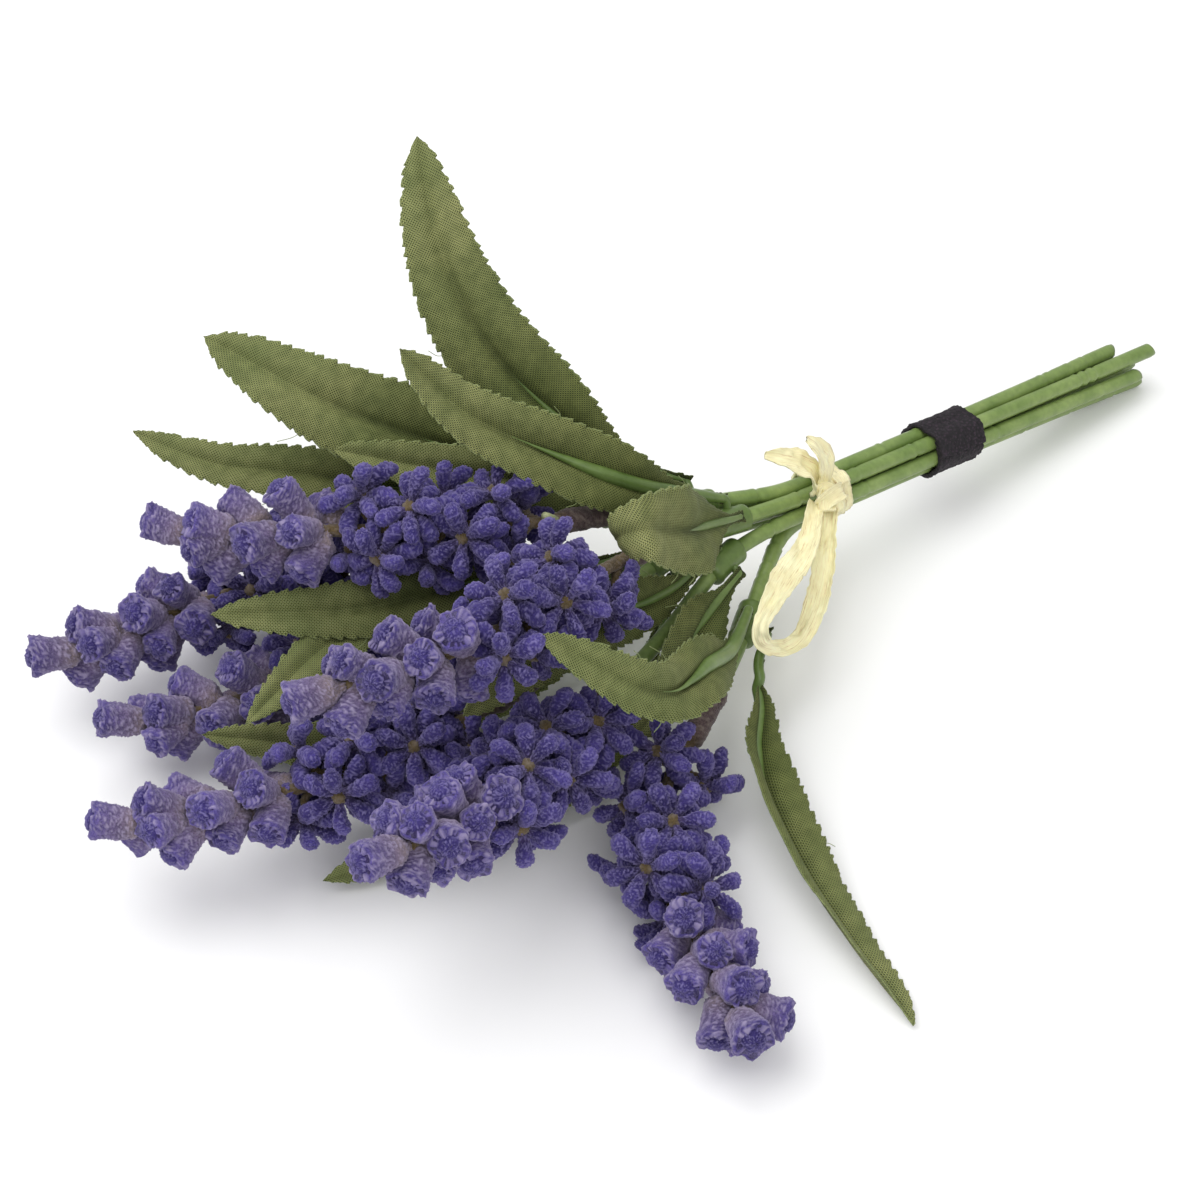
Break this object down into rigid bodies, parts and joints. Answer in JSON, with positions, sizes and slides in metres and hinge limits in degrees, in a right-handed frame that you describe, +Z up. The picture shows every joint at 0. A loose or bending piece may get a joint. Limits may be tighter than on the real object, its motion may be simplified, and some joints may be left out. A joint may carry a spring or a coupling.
{
  "type": "bunch of artificial lavender",
  "caption": "Tied bunch of artificial lavender lying down, with flocked flower spikes, woven leaves, plastic stems, a raffia tie and a hook-and-loop band.",
  "frame": {"origin": "middle of the bunch's box, on the surface that it lies on", "axes": "+X along the stems towards their cut ends, +Z up from the surface, +Y across the bunch"},
  "size_m": [0.2544, 0.1826, 0.0981],
  "materials": {
    "stem_plastic": "moulded green stem, slightly glossy",
    "sleeve_flock": "flocked mauve-brown flower stalk",
    "bud_flock": "flocked blue-violet buds",
    "bell_flock": "flocked pale mauve florets",
    "leaf_cloth": "woven olive-green leaf cloth",
    "collar_plastic": "moulded green leaf collar",
    "band_cloth": "dark hook-and-loop tape",
    "raffia": "pale creased raffia"
  },
  "bodies": {
    "root": {"stem_1": "stem_plastic", "stem_2": "stem_plastic", "stem_3": "stem_plastic", "stem_4": "stem_plastic", "stem_5": "stem_plastic", "stem_6": "stem_plastic", "stem_7": "stem_plastic", "spike_1_spine": "sleeve_flock", "spike_1_lower_buds": "bud_flock", "spike_1_upper_buds": "bud_flock", "spike_1_bells": "bell_flock", "spike_2_spine": "sleeve_flock", "spike_2_lower_buds": "bud_flock", "spike_2_upper_buds": "bud_flock", "spike_2_bells": "bell_flock", "spike_3_spine": "sleeve_flock", "spike_3_lower_buds": "bud_flock", "spike_3_upper_buds": "bud_flock", "spike_3_bells": "bell_flock", "spike_4_spine": "sleeve_flock", "spike_4_lower_buds": "bud_flock", "spike_4_upper_buds": "bud_flock", "spike_4_bells": "bell_flock", "spike_5_spine": "sleeve_flock", "spike_5_lower_buds": "bud_flock", "spike_5_upper_buds": "bud_flock", "spike_5_bells": "bell_flock", "spike_6_spine": "sleeve_flock", "spike_6_lower_buds": "bud_flock", "spike_6_upper_buds": "bud_flock", "spike_6_bells": "bell_flock", "spike_7_spine": "sleeve_flock", "spike_7_lower_buds": "bud_flock", "spike_7_upper_buds": "bud_flock", "spike_7_bells": "bell_flock", "leaf_collar_1": "collar_plastic", "leaf_collar_2": "collar_plastic", "leaf_collar_3": "collar_plastic", "leaf_collar_4": "collar_plastic", "leaf_collar_5": "collar_plastic", "leaf_collar_6": "collar_plastic", "leaf_collar_7": "collar_plastic", "leaf_1": "leaf_cloth", "leaf_2": "leaf_cloth", "leaf_3": "leaf_cloth", "leaf_4": "leaf_cloth", "leaf_5": "leaf_cloth", "leaf_6": "leaf_cloth", "leaf_7": "leaf_cloth", "leaf_8": "leaf_cloth", "leaf_9": "leaf_cloth", "leaf_10": "leaf_cloth", "leaf_11": "leaf_cloth", "leaf_12": "leaf_cloth", "leaf_13": "leaf_cloth", "leaf_14": "leaf_cloth", "hook_and_loop_band": "band_cloth", "raffia_tie": "raffia"}
  },
  "joints": []
}
